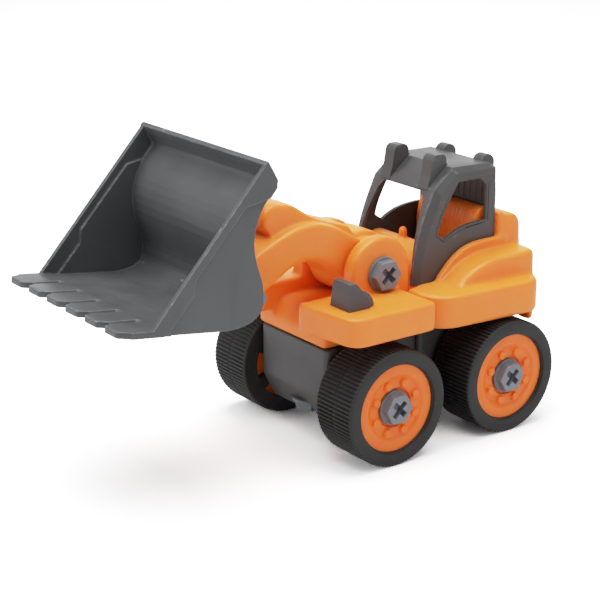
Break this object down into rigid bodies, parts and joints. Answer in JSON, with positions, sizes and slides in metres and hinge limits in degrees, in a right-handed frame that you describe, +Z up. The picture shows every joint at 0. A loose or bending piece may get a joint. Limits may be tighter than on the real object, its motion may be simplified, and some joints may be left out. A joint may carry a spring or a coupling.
{
  "type": "toy front loader",
  "caption": "Take-apart toy front loader with a lifting boom, a tilting toothed bucket, an open cab and free-rolling wheels, held by large hex screws.",
  "frame": {"origin": "on the ground under the middle of the machine's length and width, boom and bucket as stored", "axes": "+X forward towards the bucket, +Y to the machine's left, +Z up"},
  "size_m": [0.2245, 0.1046, 0.1413],
  "materials": {
    "orange_plastic": "satin moulded plastic",
    "hub_plastic": "satin moulded plastic",
    "bucket_plastic": "satin moulded plastic",
    "cab_plastic": "satin moulded plastic",
    "chassis_plastic": "satin moulded plastic",
    "tyre_plastic": "matte ribbed plastic",
    "screw_plastic": "satin moulded plastic"
  },
  "bodies": {
    "frame": {"front_chassis": "chassis_plastic", "rear_chassis": "chassis_plastic", "chassis_screw": "screw_plastic", "front_body": "orange_plastic", "front_body_screws": "screw_plastic", "rear_body": "orange_plastic", "rear_body_screws": "screw_plastic", "cab": "cab_plastic", "headlight_left": "cab_plastic", "headlight_right": "cab_plastic", "boom_bolt": "screw_plastic", "boom_nut": "screw_plastic", "wheel_screw_front_left": "screw_plastic", "wheel_screw_front_right": "screw_plastic", "wheel_screw_rear_left": "screw_plastic", "wheel_screw_rear_right": "screw_plastic"},
    "boom": {"boom": "orange_plastic", "bucket_bolt": "screw_plastic", "bucket_nut": "screw_plastic"},
    "bucket": {"bucket": "bucket_plastic"},
    "wheel_front_left": {"tyre_front_left": "tyre_plastic", "hub_front_left": "hub_plastic"},
    "wheel_front_right": {"tyre_front_right": "tyre_plastic", "hub_front_right": "hub_plastic"},
    "wheel_rear_left": {"tyre_rear_left": "tyre_plastic", "hub_rear_left": "hub_plastic"},
    "wheel_rear_right": {"tyre_rear_right": "tyre_plastic", "hub_rear_right": "hub_plastic"}
  },
  "joints": [
    {"name": "boom_lift", "type": "hinge", "parent": "frame", "child": "boom", "pos_m": [-0.03175, 0, 0.0765], "axis": [0, 1, 0], "range_deg": [-50, 34]},
    {"name": "bucket_tilt", "type": "hinge", "parent": "boom", "child": "bucket", "pos_m": [0.03725, 0, 0.078], "axis": [0, -1, 0], "range_deg": [-60, 30]},
    {"name": "front_left_spin", "type": "hinge", "parent": "frame", "child": "wheel_front_left", "pos_m": [-0.01825, 0.0392, 0.026], "axis": [0, 1, 0], "continuous": true},
    {"name": "front_right_spin", "type": "hinge", "parent": "frame", "child": "wheel_front_right", "pos_m": [-0.01825, -0.0392, 0.026], "axis": [0, 1, 0], "continuous": true},
    {"name": "rear_left_spin", "type": "hinge", "parent": "frame", "child": "wheel_rear_left", "pos_m": [-0.08325, 0.0392, 0.026], "axis": [0, 1, 0], "continuous": true},
    {"name": "rear_right_spin", "type": "hinge", "parent": "frame", "child": "wheel_rear_right", "pos_m": [-0.08325, -0.0392, 0.026], "axis": [0, 1, 0], "continuous": true}
  ]
}
